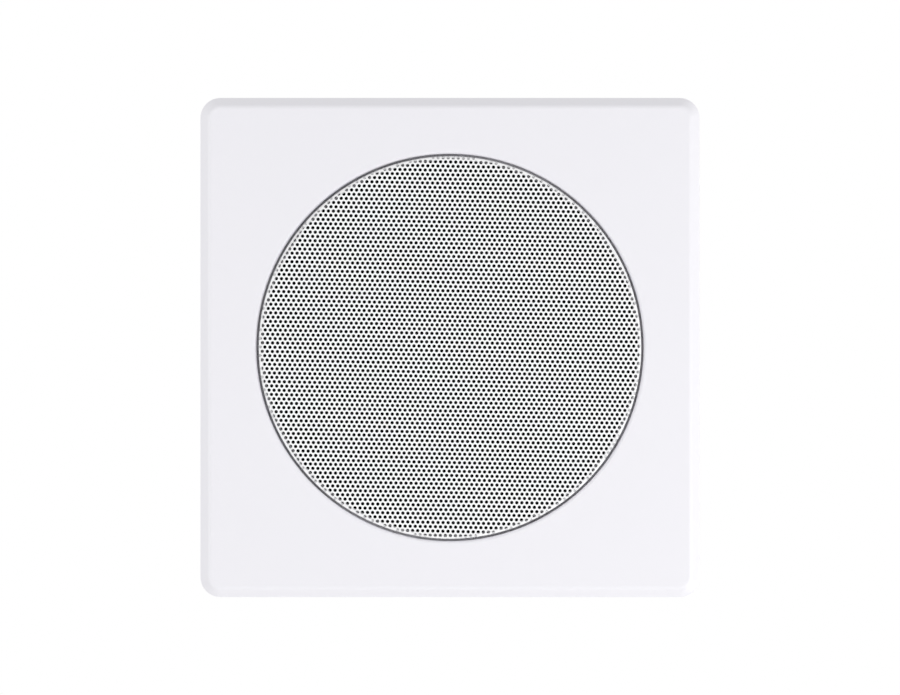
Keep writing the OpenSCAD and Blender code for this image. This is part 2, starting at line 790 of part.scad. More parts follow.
module tweeter_top_plate() {
    color("silver") translate([0, 0, tweeter_gap_z]) cylinder(r = dome_d / 2 - 0.7, h = 2);
}

// Moulded plate behind the motor, with four standoffs for the board
carrier_screw_x = 18;
carrier_screw_d = 3.9;
carrier_head_d = 7;
carrier_head_h = 2.4;
carrier_edge = 2;
standoff_d = 6.5;
board_screw_d = 2.6;
board_head_d = 5;
board_head_h = 1.8;
board_corner = 2;
board_pilot_h = standoff_h + carrier_t - 0.5;

module carrier() {
    w = board_w + 2 * carrier_edge;
    h = board_h + 2 * carrier_edge;
    color("#282828") difference() {
        union() {
            linear_extrude_at(yoke_z - carrier_t, carrier_t) round_sheet(w, h, 2 * carrier_edge);
            for (x = [-1, 1], y = [-1, 1]) translate([x * corner_x, y * corner_y, standoff_z])
                cylinder(d = standoff_d, h = standoff_h + EPS);
        }
        around(2, carrier_screw_x) translate([0, 0, yoke_z - carrier_t - CUT])
            cylinder(d = carrier_screw_d + 2 * screw_clear, h = carrier_t + 2 * CUT, $fn = SMALL_FN);
        for (x = [-1, 1], y = [-1, 1]) translate([x * corner_x, y * corner_y, standoff_z - EPS])
            cylinder(d = board_screw_d + 2 * pilot_clear, h = board_pilot_h, $fn = SMALL_FN);
    }
}

module carrier_screws() {
    color("silver") around(2, carrier_screw_x) translate([0, 0, yoke_z - carrier_t])
        mirror([0, 0, 1])
            pan_screw(carrier_screw_d, carrier_head_d, carrier_head_h, carrier_t + motor_t - CUT);
}

module crossover_board() {
    color("darkgreen") linear_extrude_at(board_z, board_t) difference() {
        round_sheet(board_w, board_h, board_corner);
        for (x = [-1, 1], y = [-1, 1]) translate([x * corner_x, y * corner_y])
            circle(d = board_screw_d + 2 * screw_clear, $fn = SMALL_FN);
    }
}

module board_screws() {
    color("silver") for (x = [-1, 1], y = [-1, 1])
        translate([x * corner_x, y * corner_y, board_z]) mirror([0, 0, 1])
            pan_screw(board_screw_d, board_head_d, board_head_h, board_t + board_pilot_h - CUT);
}

// Air-cored coil: a flanged bobbin and its winding
inductor_at = [-13, 7];
bobbin_t = 1.2;
core_d = 10;
core_in_r = core_d / 2 - 1.5;
winding_inset = 1;

module inductor_bobbin() {
    low = board_z - inductor_h;
    r = inductor_d / 2;
    color("#282828") translate(inductor_at) rotate_extrude() polygon([
        [core_in_r, low], [r, low], [r, low + bobbin_t], [core_d / 2, low + bobbin_t],
        [core_d / 2, board_z - bobbin_t], [r, board_z - bobbin_t], [r, board_z],
        [core_in_r, board_z]]);
}

module inductor_winding() {
    color("chocolate") translate(inductor_at)
        ring(core_d / 2, inductor_d / 2 - winding_inset,
            board_z - inductor_h + bobbin_t, board_z - bobbin_t);
}

// Film capacitor lying on the board, on the two leads that it bends down
parts_x = 13;
capacitor_y = 13;
resistor_y = 1;
lead_d = 0.8;
lead_out = 1.5;

module bent_leads(l, z, y) {
    for (side = [-1, 1]) {
        translate([side * (l / 2 + lead_out), y, board_z - z])
            cylinder(d = lead_d, h = z, $fn = SMALL_FN);
        translate([side * (l + lead_out) / 2, y, board_z - z])
            cube([lead_out + lead_d, lead_d, lead_d], center = true);
    }
}

module capacitor() {
    r = capacitor_d / 2;
    edge = 0.8;
    color("goldenrod") translate([parts_x, capacitor_y, board_z - r]) rotate([0, 90, 0])
        rotate_extrude() polygon([[0, -capacitor_l / 2], [r - edge, -capacitor_l / 2],
            [r, edge - capacitor_l / 2], [r, capacitor_l / 2 - edge],
            [r - edge, capacitor_l / 2], [0, capacitor_l / 2]]);
    color("silver") translate([parts_x, 0, 0]) bent_leads(capacitor_l, r, capacitor_y);
}

module resistor() {
    l = capacitor_l - 2;
    color("whitesmoke") translate([parts_x - l / 2, resistor_y - resistor_w / 2, board_z - resistor_w])
        cube([l, resistor_w, resistor_w]);
    color("silver") translate([parts_x, 0, 0]) bent_leads(l, resistor_w / 2, resistor_y);
}

// Push terminals: a moulded block, two levers and two holes for the wire
lever_y = block_y - 2.5;
hole_y = block_y + 4;
lever_l = lever_out + lever_in;

module terminal_block() {
    spring_h = 0.5;
    pocket_h = lever_in + lever_travel + spring_h;
    color("#282828") difference() {
        linear_extrude_at(block_z, block_h) translate([0, block_y]) round_sheet(block_w, block_d, 1);
        for (x = [-lever_x, lever_x]) {
            translate([x - lever_w / 2 - lever_clear, lever_y - lever_d / 2 - lever_clear,
                    block_z - CUT])
                cube([lever_w + 2 * lever_clear, lever_d + 2 * lever_clear, pocket_h + CUT]);
            translate([x, hole_y, block_z - CUT])
                cylinder(d = wire_hole_d, h = pocket_h + CUT, $fn = SMALL_FN);
        }
    }
}

module lever(x, shade) {
    edge = 0.8;
    half_w = lever_w / 2;
    color(shade) translate([x, lever_y, block_z - lever_out]) rotate([90, 0, 0])
        linear_extrude(height = lever_d, center = true) polygon([
            [-half_w, lever_l], [-half_w, edge], [edge - half_w, 0],
            [half_w - edge, 0], [half_w, edge], [half_w, lever_l]]);
}

// Hook-up wires, each from its tag to the back of the board
module woofer_wire(side) {
    tip_y = tag_y + tag_l - 5;
    turn_z = board_z - 6;
    pad_y = board_h / 2 - 2.5;
    wire([[side * tag_x, tip_y, strip_z - tag_t], [side * tag_x, tip_y, strip_z - tag_t - 5],
        [side * tag_x, tip_y - 4, magnet_z], [side * tag_x, magnet_d / 2 + 6, back_plate_z],
        [side * 5, magnet_d / 2 + 4, board_z], [side * 4, magnet_d / 2 + 2, turn_z],
        [side * 4, pad_y, turn_z], [side * 4, pad_y, board_z]], wire_r, [1, 0, 0]);
}

module tweeter_wire(side) {
    y = side * wire_y;
    arm_z = arm_top_z - arm_t / 2;
    tag_z = pot_z + 3;
    hole_x = -bridge_r;
    turn_z = board_z - 6;
    pad_x = 2 - board_w / 2;
    wire([[-pot_side_x, y, tag_z], [-pot_r - 4, y, tag_z],
        [-face_d / 2 - 4, y, ledge_z - ledge_t - 2], [-face_d / 2 - 9, y, arm_z],
        [hole_x + 3, y, arm_z], [hole_x, y, arm_z - 2], [hole_x, y, baffle_z - 6],
        [hole_x + 8, y, floor_z], [-magnet_d / 2 - 8, y, back_plate_z],
        [-magnet_d / 2 - 6, y, turn_z], [pad_x, y, turn_z], [pad_x, y, board_z]],
        wire_r, [0, 1, 0]);
}
pot_side_x = sqrt(pow(pot_r, 2) - pow(wire_y - wire_r, 2));

// Turns a piece upright: what was up becomes the front
module upright() {
    rotate([90, 0, 0]) children();
}

upright() front_frame();
upright() grille();
upright() grille_cloth();
for (i = CLAMPS) {
    upright() clamp_screw(i);
    upright() clamp_dog(i);
}
upright() driver_seal();
upright() basket();
upright() rim_gasket();
upright() surround();
upright() cone();
upright() dust_cap();
upright() spider();
upright() coil_former();
upright() voice_coil();
upright() front_plate();
upright() magnet();
upright() yoke();
upright() tag_strip();
upright() solder_tags();
upright() tinsel_leads();
upright() woofer_screws();
upright() tweeter_bridge();
upright() bridge_screws();
upright() tweeter_face();
upright() tweeter_dome();
upright() tweeter_coil();
upright() tweeter_pot();
upright() tweeter_magnet();
upright() tweeter_top_plate();
upright() carrier();
upright() carrier_screws();
upright() crossover_board();
upright() board_screws();
upright() inductor_bobbin();
upright() inductor_winding();
upright() capacitor();
upright() resistor();
upright() terminal_block();
upright() lever(-lever_x, "firebrick");  // lever_red
upright() lever(lever_x, "#181818");  // lever_black
upright() color("firebrick") woofer_wire(-1);  // woofer_wire_red
upright() color("#181818") woofer_wire(1);  // woofer_wire_black
upright() color("firebrick") tweeter_wire(-1);  // tweeter_wire_red
upright() color("#181818") tweeter_wire(1);  // tweeter_wire_black
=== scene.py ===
from math import atan2, cos, pi, radians, sin

import bmesh
import bpy
from mathutils import Matrix, Vector


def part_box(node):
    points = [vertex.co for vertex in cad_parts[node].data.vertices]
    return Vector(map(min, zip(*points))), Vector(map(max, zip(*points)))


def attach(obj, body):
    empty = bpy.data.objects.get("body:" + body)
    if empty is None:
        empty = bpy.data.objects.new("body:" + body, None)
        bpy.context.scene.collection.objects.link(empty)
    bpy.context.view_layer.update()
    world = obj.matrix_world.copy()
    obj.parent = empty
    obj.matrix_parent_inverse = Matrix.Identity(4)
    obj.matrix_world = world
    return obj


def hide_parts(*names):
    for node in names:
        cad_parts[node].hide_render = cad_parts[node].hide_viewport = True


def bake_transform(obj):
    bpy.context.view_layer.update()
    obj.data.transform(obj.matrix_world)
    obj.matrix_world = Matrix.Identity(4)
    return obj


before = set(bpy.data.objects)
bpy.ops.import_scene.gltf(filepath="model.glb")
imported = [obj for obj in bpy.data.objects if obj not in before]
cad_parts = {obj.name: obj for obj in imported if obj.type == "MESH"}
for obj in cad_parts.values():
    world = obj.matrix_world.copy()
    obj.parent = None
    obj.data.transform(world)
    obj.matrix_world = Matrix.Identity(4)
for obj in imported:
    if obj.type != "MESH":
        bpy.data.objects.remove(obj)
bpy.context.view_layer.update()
MM = 0.001

# Front frame: one injection moulding in white ABS, with the flange, the grille's
# groove, the baffle and the collar in one piece. It is moulded against a finely
# eroded steel face, and four clamps pull its rim against the wall.


def srgb(code):
    """Linear colour of an sRGB hex value."""
    parts = [int(code[i:i + 2], 16) / 255 for i in (1, 3, 5)]
    return [c / 12.92 if c <= 0.04045 else ((c + 0.055) / 1.055) ** 2.4 for c in parts] + [1]


def add_node(tree, kind, inputs=None, **settings):
    """Adds a node, then sets its properties and fills its inputs with values or links."""
    node = tree.nodes.new(kind)
    for name, value in settings.items():
        setattr(node, name, value)
    for name, value in (inputs or {}).items():
        if isinstance(value, bpy.types.Node):
            value = value.outputs[0]
        if isinstance(value, bpy.types.NodeSocket):
            tree.links.new(value, node.inputs[name])
        else:
            node.inputs[name].default_value = value
    return node


def finish(name, colour, roughness, metallic=0, ior=None, grain=0.5, depth=0.004, stretch=(1, 1, 1)):
    """One colour with a fine relief, whose grain and depth are in mm."""
    made = bpy.data.materials.new(name)
    made.use_nodes = True
    tree = made.node_tree
    shader = tree.nodes["Principled BSDF"]
    shader.inputs["Base Color"].default_value = srgb(colour)
    shader.inputs["Roughness"].default_value = roughness
    shader.inputs["Metallic"].default_value = metallic
    if ior:
        shader.inputs["IOR"].default_value = ior
    place = add_node(tree, "ShaderNodeTexCoord")
    turned = add_node(tree, "ShaderNodeMapping",
                      {"Vector": place.outputs["Object"], "Scale": stretch})
    noise = add_node(tree, "ShaderNodeTexNoise",
                     {"Vector": turned, "Scale": 1 / (grain * MM), "Detail": 2.0})
    bump = add_node(tree, "ShaderNodeBump", {"Height": noise, "Distance": depth * MM})
    tree.links.new(bump.outputs["Normal"], shader.inputs["Normal"])
    return made


def smooth(mesh, angle=35):
    """Rounds the shading, and keeps edges sharper than this angle crisp."""
    mesh.shade_smooth()
    mesh.set_sharp_from_angle(angle=radians(angle))


def solid(name, mesh, material):
    """An object at the origin with one material."""
    made = bpy.data.objects.new(name, mesh)
    bpy.context.scene.collection.objects.link(made)
    made.data.materials.clear()
    made.data.materials.append(material)
    return made


# Corners closer than this are one corner
weld = 0.001 * MM


def merged(node):
    """The solids of a node, with the corners of their triangles joined up."""
    shape = bmesh.new()
    shape.from_mesh(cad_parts[node].data)
    bmesh.ops.remove_doubles(shape, verts=shape.verts, dist=weld)
    return shape


def meshed(name, shape):
    """The mesh of a shape, which is freed."""
    mesh = bpy.data.meshes.new(name)
    shape.to_mesh(mesh)
    shape.free()
    return mesh


def cad_mesh(name, shape, angle=35):
    """A smooth-shaded mesh of a shape that came from CAD, without its old normals."""
    mesh = meshed(name, shape)
    if "custom_normal" in mesh.attributes:
        mesh.attributes.remove(mesh.attributes["custom_normal"])
    smooth(mesh, angle)
    return mesh


def dressed(name, node, body, material, angle=35):
    """A smooth-shaded copy that stands for one CAD node."""
    piece = solid(name, cad_mesh(name, merged(node), angle), material)
    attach(piece, body)
    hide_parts(node)
    return piece


# Moulded ABS: a satin that blurs reflections, with a texture too fine to count
white_abs = finish("moulded white ABS", "#F2F1F6", 0.42, ior=1.53, grain=0.5, depth=0.003)
plate = dressed("moulded_frame", "front_frame", "housing", white_abs)
flat_faces = plate.modifiers.new("flat faces stay flat", "WEIGHTED_NORMAL")
flat_faces.keep_sharp = True

# Clamp screws: four long pan head screws of zinc plated steel with a rolled coarse
# thread. They are driven with a cross point from the front, once the grille is off,
# and hang in towers moulded on the baffle.

# What is made lying on its back, with its front along local Z, is stood up by this
upright = Matrix.Rotation(pi / 2, 4, "X")


def node_tree(name, sizes):
    """A Geometry Nodes tree with geometry going in and out, and a named input for each size."""
    tree = bpy.data.node_groups.new(name, "GeometryNodeTree")
    tree.interface.new_socket("Geometry", in_out="INPUT", socket_type="NodeSocketGeometry")
    for size, value in sizes.items():
        kind = "NodeSocketInt" if isinstance(value, int) else "NodeSocketFloat"
        tree.interface.new_socket(size, in_out="INPUT", socket_type=kind)
    tree.interface.new_socket("Geometry", in_out="OUTPUT", socket_type="NodeSocketGeometry")
    return tree, tree.nodes.new("NodeGroupInput"), tree.nodes.new("NodeGroupOutput")


def grown(name, mesh, tree, sizes, angle=35):
    """The object that a tree makes from a mesh, as a plain mesh turned upright."""
    made = bpy.data.objects.new(name, mesh)
    bpy.context.scene.collection.objects.link(made)
    modifier = made.modifiers.new(name, "NODES")
    modifier.node_group = tree
    for socket in tree.interface.items_tree:
        if socket.in_out == "INPUT" and socket.name in sizes:
            modifier[socket.identifier] = sizes[socket.name]
    seen = made.evaluated_get(bpy.context.evaluated_depsgraph_get())
    plain = bpy.data.meshes.new_from_object(seen)
    made.modifiers.clear()
    made.data = plain
    plain.transform(upright)
    smooth(plain, angle)
    return made


def calculator(tree):
    """A function that adds one maths node to a tree."""
    def calc(operation, *values):
        return add_node(tree, "ShaderNodeMath", dict(enumerate(values)), operation=operation)
    return calc


def screw_tree(sizes, material):
    """Tree that puts a pan head screw with a rolled thread and a cross recess on every point."""
    tree, given, out = node_tree("pan head screws", sizes)
    size = given.outputs
    calc = calculator(tree)
    thread_sides = 20
    rings_per_turn = 4.0
    last_ring = 0.9999
    crown_power = 0.7
    turn_to_next = 2.4
    # Shares of the head's diameter, and of its height, that the cross recess takes
    recess_long = 0.56
    recess_wide = 0.15
    recess_deep = 1.2

    def vector(x, y, z):
        return add_node(tree, "ShaderNodeCombineXYZ", {"X": x, "Y": y, "Z": z})

    turns = calc("DIVIDE", size["Length"], size["Thread pitch"])
    rings = calc("ADD", calc("MULTIPLY", turns, rings_per_turn), 1.0)
    sheet = add_node(tree, "GeometryNodeMeshGrid", {
        "Size X": 1.0, "Size Y": 1.0, "Vertices X": thread_sides + 1, "Vertices Y": rings})
    part = add_node(tree, "ShaderNodeSeparateXYZ", {0: add_node(tree, "GeometryNodeInputPosition")})
    turn = calc("ADD", part.outputs["X"], 0.5)
    along = calc("ADD", part.outputs["Y"], 0.5)
    z = calc("MULTIPLY", calc("SUBTRACT", along, 1.0), size["Length"])
    wound = calc("FRACT", calc("SUBTRACT", calc("DIVIDE", z, size["Thread pitch"]), turn))
    groove = calc("ABSOLUTE", calc("MULTIPLY_ADD", wound, 2.0, -1.0))
    full_r = calc("SUBTRACT", calc("MULTIPLY", size["Diameter"], 0.5),
                  calc("MULTIPLY", groove, size["Thread depth"]))
    point = calc("MINIMUM", calc("DIVIDE", calc("ADD", z, size["Length"]), size["Diameter"]), 1.0)
    inside = calc("LESS_THAN", along, last_ring)
    r = calc("MULTIPLY", calc("MULTIPLY", full_r, point), inside)
    angle = calc("MULTIPLY", turn, 2 * pi)
    rolled = vector(calc("MULTIPLY", r, calc("COSINE", angle)),
                    calc("MULTIPLY", r, calc("SINE", angle)), z)
    shank = add_node(tree, "GeometryNodeMergeByDistance", {
        "Geometry": add_node(tree, "GeometryNodeSetPosition", {"Geometry": sheet, "Position": rolled}),
        "Distance": weld})

    ball = add_node(tree, "GeometryNodeMeshUVSphere", {"Segments": 24, "Rings": 12, "Radius": 1.0})
    crown = calc("POWER", calc("MAXIMUM", part.outputs["Z"], 0.0), crown_power)
    head_r = calc("MULTIPLY", size["Head diameter"], 0.5)
    domed = vector(calc("MULTIPLY", part.outputs["X"], head_r),
                   calc("MULTIPLY", part.outputs["Y"], head_r),
                   calc("MULTIPLY", crown, size["Head height"]))
    head = add_node(tree, "GeometryNodeMergeByDistance", {
        "Geometry": add_node(tree, "GeometryNodeSetPosition", {"Geometry": ball, "Position": domed}),
        "Distance": weld})
    wide = calc("MULTIPLY", size["Head diameter"], recess_long)
    thin = calc("MULTIPLY", size["Head diameter"], recess_wide)
    deep = calc("MULTIPLY", size["Head height"], recess_deep)
    slots = [add_node(tree, "GeometryNodeTransform", {
        "Geometry": add_node(tree, "GeometryNodeMeshCube", {"Size": vector(x, y, deep)}),
        "Translation": vector(0.0, 0.0, size["Head height"])}) for x, y in ((wide, thin), (thin, wide))]
    crossed = add_node(tree, "GeometryNodeMeshBoolean", {"Mesh 1": head, "Mesh 2": slots[0]},
                       operation="DIFFERENCE", solver="MANIFOLD")
    tree.links.new(slots[1].outputs[0], crossed.inputs["Mesh 2"])
    screw = add_node(tree, "GeometryNodeJoinGeometry", {"Geometry": shank})
    tree.links.new(crossed.outputs[0], screw.inputs["Geometry"])

    spin = calc("MULTIPLY", add_node(tree, "GeometryNodeInputIndex"), turn_to_next)
    placed = add_node(tree, "GeometryNodeInstanceOnPoints", {
        "Points": size["Geometry"], "Instance": screw, "Rotation": vector(size["Turned over"], 0.0, spin)})
    real = add_node(tree, "GeometryNodeRealizeInstances", {0: placed})
    plated = add_node(tree, "GeometryNodeSetMaterial", {"Geometry": real, "Material": material})
    tree.links.new(plated.outputs[0], out.inputs[0])
    return tree


def screws(name, node, body, material, places, diameter, head, pitch, rear=False):
    """Screws at places across the face, in mm, whose levels come from their CAD solids."""
    thread_share = 0.12
    low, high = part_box(node)
    head_d, head_h = head
    seat = -high.y / MM + head_h if rear else -low.y / MM - head_h
    points = bpy.data.meshes.new(name)
    points.from_pydata([(x * MM, y * MM, seat * MM) for x, y in places], [], [])
    sizes = {
        "Diameter": diameter * MM, "Length": high.y - low.y - head_h * MM,
        "Thread pitch": pitch * MM, "Thread depth": thread_share * diameter * MM,
        "Head diameter": head_d * MM, "Head height": head_h * MM, "Turned over": pi if rear else 0.0}
    piece = grown(name, points, screw_tree(sizes, material), sizes)
    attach(piece, body)
    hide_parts(node)


def middle(node):
    """Place of a node across the face, in mm."""
    low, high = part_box(node)
    return (low.x + high.x) / 2 / MM, (low.z + high.z) / 2 / MM


# Zinc plate with a clear passivate: a cool grey metal with a faintly brushed sheen
zinc = finish("bright zinc plate on steel", "#C4C6C8", 0.34, metallic=1, grain=0.3, depth=0.002)
for i in (1, 2, 3, 4):
    screws(f"clamp_screw_threaded_{i}", f"clamp_screw_{i}", f"clamp_screw_{i}", zinc,
           [middle(f"clamp_screw_{i}")], diameter=4, head=(7.5, 2.6), pitch=1.4)

# Clamp dogs: four mouldings of glass filled nylon, each with a hub that its screw
# draws forward, an arm with a gusset, and a pad that bites on the back of the board.

# Glass filled nylon: dull mid grey, roughened by the fibres near its skin
glass_nylon = finish("glass filled nylon", "#5B5D60", 0.62, ior=1.53, grain=0.4, depth=0.02)
for i in (1, 2, 3, 4):
    dressed(f"nylon_dog_{i}", f"clamp_dog_{i}", f"clamp_dog_{i}", glass_nylon)

# Woofer basket and its foam seal: one deep drawn steel pressing with six openings,
# powder coated black, on a ring of closed cell foam that is glued to its flange.
# Four black screws hold both to the baffle.

# Closed cell foam: almost black, with open cells at its cut edge
closed_foam = finish("closed cell foam", "#2A2A2B", 0.95, grain=0.5, depth=0.08)
# Black powder coat: the pebbled half gloss of a baked coating
black_coat = finish("black powder coat on steel", "#19191B", 0.42, ior=1.5, grain=0.9, depth=0.012)
# Black oxide: a dark metal with a soft oily sheen
black_oxide = finish("black oxide on steel", "#2A2A2C", 0.45, metallic=1, grain=0.3, depth=0.002)
dressed("foam_seal", "driver_seal", "housing", closed_foam)
dressed("pressed_basket", "basket", "housing", black_coat)
fixing_turn = 22.5
fixing_head = (5.8, 2.2)
fixing_r = (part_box("woofer_screws")[1].x / MM - fixing_head[0] / 2) / cos(radians(fixing_turn))
fixing_angles = [radians(fixing_turn + 90 * i) for i in range(4)]
screws("basket_screws", "woofer_screws", "housing", black_oxide,
       [(fixing_r * cos(a), fixing_r * sin(a)) for a in fixing_angles],
       diameter=3.4, head=fixing_head, pitch=1.2)

# Surround, spider and gasket: a half roll of moulded rubber and a disc of corrugated
# cotton cloth, both glued to the basket at their outer edge and to the moving parts
# at their inner edge, and a ring of foam that covers the roll's landing.


def wedges(name, node, material, count=24):
    """Closed wedges of a ring, each cut off between two planes through the axis and capped."""
    on_cut = 0.0001 * MM
    for k in range(count):
        centre = 2 * pi * (k + 0.5) / count
        shape = merged(node)
        for side in (-1, 1):
            edge = centre + side * pi / count
            outward = side * Vector((-sin(edge), 0, cos(edge)))
            everything = shape.verts[:] + shape.edges[:] + shape.faces[:]
            bmesh.ops.bisect_plane(shape, geom=everything, dist=on_cut, plane_co=(0, 0, 0),
                                   plane_no=outward, clear_outer=True)
            cut = [e for e in shape.edges if e.is_boundary]
            caps = bmesh.ops.holes_fill(shape, edges=cut, sides=0)["faces"]
            bmesh.ops.triangulate(shape, faces=caps)
        bmesh.ops.recalc_face_normals(shape, faces=shape.faces)
        piece = solid(f"{name}_{k + 1}", cad_mesh(f"{name}_{k + 1}", shape), material)
        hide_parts(node)
        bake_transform(piece)


# Butyl rubber: matt black
butyl = finish("moulded butyl rubber", "#161617", 0.6, ior=1.52, grain=0.6, depth=0.006)
# Resin treated cotton: amber cloth with the grain of half millimetre threads
treated_cotton = finish("resin treated cotton cloth", "#B18A3E", 0.85, grain=0.5, depth=0.06)
wedges("surround_wedge", "surround", butyl)
wedges("spider_wedge", "spider", treated_cotton)
dressed("foam_gasket", "rim_gasket", "housing", closed_foam)

# Cone, dust cap and voice coil: a cone and cap moulded in mineral filled
# polypropylene, glued to a former of brown polyimide film that carries the coil of
# enamelled copper wire in the motor's gap.

# Filled polypropylene: a near black satin with a fine grain
filled_poly = finish("mica filled polypropylene", "#1D1E20", 0.38, ior=1.49, grain=0.35, depth=0.01)
# Polyimide film: a clear deep amber
amber_film = finish("polyimide film", "#9A5B1E", 0.3, ior=1.7, grain=0.5, depth=0.002)
# Enamelled wire: copper that shines through its varnish, with a ring for every turn
enamel_wire = finish("enamelled copper wire", "#B4602C", 0.28, metallic=1,
                     grain=0.25, depth=0.03, stretch=(0.05, 1, 0.05))
dressed("poly_cone", "cone", "cone_assembly", filled_poly)
dressed("poly_dust_cap", "dust_cap", "cone_assembly", filled_poly)
dressed("film_former", "coil_former", "cone_assembly", amber_film)
dressed("wound_voice_coil", "voice_coil", "cone_assembly", enamel_wire)

# Motor: a ring magnet of sintered ferrite glued between a zinc plated front plate
# and a back plate with its pole turned from one piece of steel.

# Sintered ferrite: charcoal grey ceramic with fine pits
ferrite = finish("sintered ferrite", "#37383A", 0.66, ior=1.9, grain=0.7, depth=0.03)
# Turned and plated steel: grey metal, a little duller than the zinc plated screws
turned_steel = finish("zinc plate on turned steel", "#B9BCBF", 0.36, metallic=1,
                      grain=0.3, depth=0.004)
dressed("steel_front_plate", "front_plate", "housing", turned_steel)
dressed("ferrite_ring", "magnet", "housing", ferrite)
dressed("steel_yoke", "yoke", "housing", turned_steel)

# Woofer connection: two tinned brass tags riveted to a strip of phenolic board on
# the basket's shelf, and two braided tinsel leads that flex with the cone.

# Phenolic paper board: brown, with a sawn matt edge
phenolic = finish("phenolic paper board", "#6E4423", 0.55, ior=1.6, grain=0.4, depth=0.01)
# Tinned brass: a soft silver with a warm cast
tinned = finish("tinned brass", "#C9C5B6", 0.32, metallic=1, grain=0.5, depth=0.004)
# Tinsel braid: copper ribbons plaited over a thread, so that it sparkles in steps
tinsel = finish("braided copper tinsel", "#B0744A", 0.42, metallic=1,
                grain=0.3, depth=0.12, stretch=(1, 0.5, 1))
dressed("phenolic_strip", "tag_strip", "housing", phenolic)
dressed("tinned_tags", "solder_tags", "housing", tinned)
leads_mesh = meshed("braided_leads", merged("tinsel_leads"))
smooth(leads_mesh, 60)
leads = solid("braided_leads", leads_mesh, tinsel)
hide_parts("tinsel_leads")
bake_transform(leads)

# Tweeter: a silk dome and its coil, clamped between a steel pot with a disc magnet
# and a moulded face with a short flare. It sits in a moulded bridge that spans the
# woofer on two arms, held by two screws.

# Moulded ABS: black, finely textured
black_moulding = finish("moulded black ABS", "#1C1C1E", 0.5, ior=1.53, grain=0.5, depth=0.008)
# Coated silk: black cloth, slightly tacky and soft in its shine
coated_silk = finish("coated silk", "#131315", 0.7, grain=0.3, depth=0.02)
dressed("moulded_bridge", "tweeter_bridge", "housing", black_moulding)
bridge_head = (5.6, 2)
bridge_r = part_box("bridge_screws")[1].x / MM - bridge_head[0] / 2
screws("bridge_screws_threaded", "bridge_screws", "housing", black_oxide,
       [(-bridge_r, 0), (bridge_r, 0)], diameter=3, head=bridge_head, pitch=1.1)
dressed("moulded_tweeter_face", "tweeter_face", "housing", black_moulding)
dressed("silk_dome", "tweeter_dome", "housing", coated_silk)
dressed("wound_tweeter_coil", "tweeter_coil", "housing", enamel_wire)
dressed("steel_pot", "tweeter_pot", "housing", turned_steel)
dressed("tweeter_disc_magnet", "tweeter_magnet", "housing", ferrite)
dressed("steel_top_plate", "tweeter_top_plate", "housing", turned_steel)

# Crossover: a glass epoxy board with green solder mask on a moulded carrier that is
# screwed to the back of the motor. It carries an air cored coil on a bobbin, a film
# capacitor and a cement resistor, all soldered to its tracks.

# Solder mask on glass epoxy: half gloss green with the faint relief of glass cloth
solder_mask = finish("green solder mask on glass epoxy", "#1F6A3B", 0.36,
                     ior=1.55, grain=0.6, depth=0.006)
# Copper tracks under the mask: the same green, lighter because the copper shows through
masked_copper = finish("solder mask over copper", "#2F8A4B", 0.32, ior=1.55, grain=0.6, depth=0.004)
# Lead free solder: bright at first, then slightly frosted
solder = finish("lead free solder", "#CDCFD0", 0.28, metallic=1, grain=0.4, depth=0.01)
dressed("moulded_carrier", "carrier", "housing", black_moulding)
carrier_head = (7, 2.4)
carrier_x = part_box("carrier_screws")[1].x / MM - carrier_head[0] / 2
screws("carrier_screws_threaded", "carrier_screws", "housing", zinc,
       [(-carrier_x, 0), (carrier_x, 0)], diameter=3.9, head=carrier_head, pitch=1.3, rear=True)
dressed("epoxy_board", "crossover_board", "housing", solder_mask)
board_head = (5, 1.8)
corner_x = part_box("board_screws")[1].x / MM - board_head[0] / 2
corner_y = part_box("board_screws")[1].z / MM - board_head[0] / 2
screws("board_screws_threaded", "board_screws", "housing", zinc,
       [(x, y) for x in (-corner_x, corner_x) for y in (-corner_y, corner_y)],
       diameter=2.6, head=board_head, pitch=1.0, rear=True)

board_low, board_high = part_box("crossover_board")
board_back = board_high.y / MM
track_w = 2.4
track_t = 0.06
track_step = 0.15
lead_r = 0.4
lead_out = 1.9


def end_pads(node):
    """Places of a part's two leads on the board, in mm."""
    low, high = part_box(node)
    level = middle(node)[1]
    return [(low.x / MM + lead_r, level), (high.x / MM - lead_r, level)]


# Places of the pads on the board, in mm: the wires' near its edges, the coil's at its corner
capacitor_pads = end_pads("capacitor")
resistor_pads = end_pads("resistor")
woofer_pads = [(x, board_high.z / MM - 2.5) for x in (-4, 4)]
tweeter_pads = [(board_low.x / MM + 2, y) for y in (-6.8, 6.8)]
coil_pads = [(-22, -7.5), (-20.5, 18.5)]
terminal_ends = [(-8.5, -11), (8.5, -11)]


def joints_tree(sizes, material):
    """Tree that puts a tapered fillet of solder on every point of the board's back."""
    tree, given, out = node_tree("solder joints", sizes)
    cone = add_node(tree, "GeometryNodeMeshCone", {
        "Vertices": 16, "Radius Top": given.outputs["Top radius"],
        "Radius Bottom": given.outputs["Bottom radius"], "Depth": given.outputs["Height"]})
    placed = add_node(tree, "GeometryNodeInstanceOnPoints", {
        "Points": given.outputs["Geometry"], "Instance": cone, "Rotation": (pi, 0, 0)})
    real = add_node(tree, "GeometryNodeRealizeInstances", {0: placed})
    tinned_up = add_node(tree, "GeometryNodeSetMaterial", {"Geometry": real, "Material": material})
    tree.links.new(tinned_up.outputs[0], out.inputs[0])
    return tree


def joints(name, places, bottom, top, height, material):
    """Solder fillets or flat pads at places on the board's back, in mm."""
    points = bpy.data.meshes.new(name)
    points.from_pydata([(x * MM, y * MM, -board_back * MM) for x, y in places], [], [])
    sizes = {"Bottom radius": bottom * MM, "Top radius": top * MM, "Height": height * MM}
    piece = grown(name, points, joints_tree(sizes, material), sizes)
    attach(piece, "housing")


